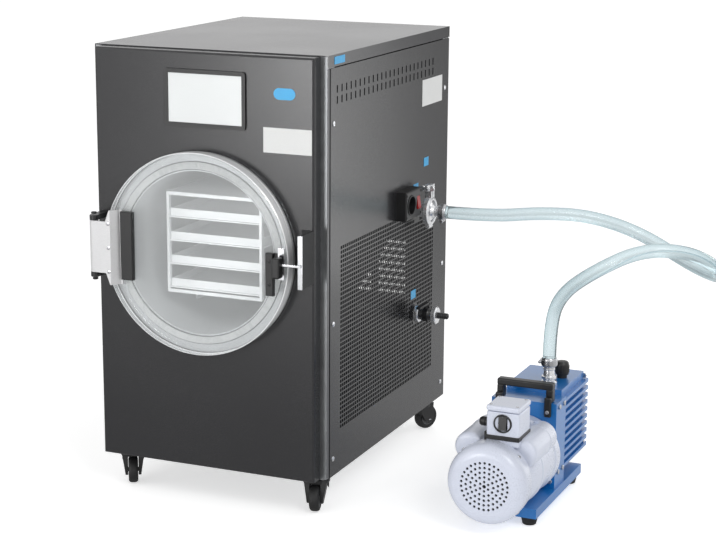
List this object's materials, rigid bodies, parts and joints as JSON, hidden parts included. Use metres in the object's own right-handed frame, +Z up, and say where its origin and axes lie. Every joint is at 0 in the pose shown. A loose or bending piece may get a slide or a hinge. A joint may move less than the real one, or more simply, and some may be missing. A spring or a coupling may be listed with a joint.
{
  "type": "freeze dryer",
  "caption": "Floor-standing laboratory freeze dryer on casters: black cabinet with a round clear door, trays in a cold chamber, and a separate oil vacuum pump joined by a hose.",
  "frame": {"origin": "on the floor, at the middle of the box round the cabinet and the pump, without the hose", "axes": "+Z up; -Y towards the front, the way the door faces; +X towards the vacuum pump"},
  "size_m": [1.0802, 0.6798, 0.829],
  "materials": {
    "cabinet_black": "satin",
    "lid_black": "gloss",
    "stainless": "satin",
    "bright_steel": "polished",
    "clear_acrylic": "polished",
    "screen_glass": "gloss",
    "gasket_rubber": "matte",
    "black_rubber": "matte",
    "black_plastic": "satin",
    "red_plastic": "gloss",
    "white_label": "satin",
    "blue_label": "satin",
    "galvanised": "satin",
    "copper_tube": "satin",
    "foam": "matte",
    "compressor_black": "gloss",
    "fin_aluminium": "satin",
    "pump_blue": "painted satin",
    "pump_white": "satin",
    "clear_hose": "gloss"
  },
  "bodies": {
    "cabinet": {"back_panel": "cabinet_black", "blue_labels": "blue_label", "caster_plates": "galvanised", "chamber_insulation": "foam", "cold_coil": "copper_tube", "compressor": "compressor_black", "condenser": "fin_aluminium", "control_box": "black_plastic", "door_gasket": "gasket_rubber", "drain_valve": "bright_steel", "exhaust_cap": "black_plastic", "fan_shroud": "cabinet_black", "front_panel": "cabinet_black", "hinge_bracket": "cabinet_black", "hose_adapter": "stainless", "junction_box": "pump_white", "latch_bracket": "cabinet_black", "left_panel": "cabinet_black", "motor_fan_cover": "pump_white", "motor_shell": "pump_white", "panel_screws": "bright_steel", "port_clamp": "stainless", "power_outlet": "black_plastic", "pump_casing": "pump_blue", "pump_feet": "black_rubber", "pump_handle": "black_plastic", "pump_inlet": "bright_steel", "right_panel": "cabinet_black", "screen_bezel": "black_plastic", "screen_glass": "screen_glass", "shelf_rack": "stainless", "strike_strip": "bright_steel", "top_cover": "lid_black", "tray_1": "stainless", "tray_2": "stainless", "tray_3": "stainless", "tray_4": "stainless", "vacuum_chamber": "stainless", "vacuum_hose": "clear_hose", "welded_frame": "galvanised", "white_labels": "white_label"},
    "door": {"door_disc": "clear_acrylic", "hinge_plate": "stainless", "hinge_pad": "black_plastic", "latch_bar": "black_plastic"},
    "latch_knob": {"latch_knob": "black_plastic"},
    "condenser_fan": {"fan_blades": "black_plastic"},
    "wing_nut": {"clamp_wing_nut": "stainless"},
    "drain_handle": {"drain_handle": "black_plastic"},
    "power_switch": {"power_switch": "red_plastic"},
    "pump_switch": {"pump_switch": "black_plastic"},
    "motor_rotor": {"motor_rotor": "black_plastic"},
    "caster_front_right": {"caster_fork_front_right": "cabinet_black"},
    "wheel_front_right": {"caster_wheel_front_right": "black_rubber"},
    "caster_front_left": {"caster_fork_front_left": "cabinet_black"},
    "wheel_front_left": {"caster_wheel_front_left": "black_rubber"},
    "caster_back_right": {"caster_fork_back_right": "cabinet_black"},
    "wheel_back_right": {"caster_wheel_back_right": "black_rubber"},
    "caster_back_left": {"caster_fork_back_left": "cabinet_black"},
    "wheel_back_left": {"caster_wheel_back_left": "black_rubber"}
  },
  "joints": [
    {"name": "door_hinge", "type": "hinge", "parent": "cabinet", "child": "door", "pos_m": [-0.38279, -0.31975, 0.475], "axis": [0, 0, -1], "range_deg": [0, 110]},
    {"name": "latch_turn", "type": "hinge", "parent": "door", "child": "latch_knob", "pos_m": [-0.01529, -0.31075, 0.47], "axis": [0, -1, 0], "range_deg": [0, 90]},
    {"name": "swivel_front_right", "type": "hinge", "parent": "cabinet", "child": "caster_front_right", "pos_m": [0.00671, -0.21175, 0.0616], "axis": [0, 0, 1], "continuous": true},
    {"name": "roll_front_right", "type": "hinge", "parent": "caster_front_right", "child": "wheel_front_right", "pos_m": [0.01085, -0.2272, 0.025], "axis": [-0.9659, -0.2588, 0], "continuous": true},
    {"name": "swivel_front_left", "type": "hinge", "parent": "cabinet", "child": "caster_front_left", "pos_m": [-0.37629, -0.21175, 0.0616], "axis": [0, 0, 1], "continuous": true},
    {"name": "roll_front_left", "type": "hinge", "parent": "caster_front_left", "child": "wheel_front_left", "pos_m": [-0.36829, -0.22561, 0.025], "axis": [-0.866, -0.5, 0], "continuous": true},
    {"name": "swivel_back_right", "type": "hinge", "parent": "cabinet", "child": "caster_back_right", "pos_m": [0.00671, 0.30025, 0.0616], "axis": [0, 0, 1], "continuous": true},
    {"name": "roll_back_right", "type": "hinge", "parent": "caster_back_right", "child": "wheel_back_right", "pos_m": [0.01471, 0.31411, 0.025], "axis": [0.866, -0.5, 0], "continuous": true},
    {"name": "swivel_back_left", "type": "hinge", "parent": "cabinet", "child": "caster_back_left", "pos_m": [-0.37629, 0.30025, 0.0616], "axis": [0, 0, 1], "continuous": true},
    {"name": "roll_back_left", "type": "hinge", "parent": "caster_back_left", "child": "wheel_back_left", "pos_m": [-0.37215, 0.31571, 0.025], "axis": [0.9659, -0.2588, 0], "continuous": true},
    {"name": "condenser_fan_spin", "type": "hinge", "parent": "cabinet", "child": "condenser_fan", "pos_m": [-0.31679, -0.11175, 0.169], "axis": [1, 0, 0], "continuous": true},
    {"name": "wing_nut_turn", "type": "hinge", "parent": "cabinet", "child": "wing_nut", "pos_m": [0.07071, 0.15975, 0.534], "axis": [0, 1, 0], "continuous": true},
    {"name": "drain_lever", "type": "hinge", "parent": "cabinet", "child": "drain_handle", "pos_m": [0.07071, 0.16525, 0.297], "axis": [0, 0, 1], "range_deg": [0, 90]},
    {"name": "power_rocker", "type": "hinge", "parent": "cabinet", "child": "power_switch", "pos_m": [0.06421, 0.12425, 0.513], "axis": [0, 1, 0], "range_deg": [0, 18]},
    {"name": "pump_rocker", "type": "hinge", "parent": "cabinet", "child": "pump_switch", "pos_m": [0.35521, -0.19825, 0.202], "axis": [1, 0, 0], "range_deg": [0, 18]},
    {"name": "motor_spin", "type": "hinge", "parent": "cabinet", "child": "motor_rotor", "pos_m": [0.33821, -0.20475, 0.098], "axis": [0, 1, 0], "continuous": true}
  ]
}
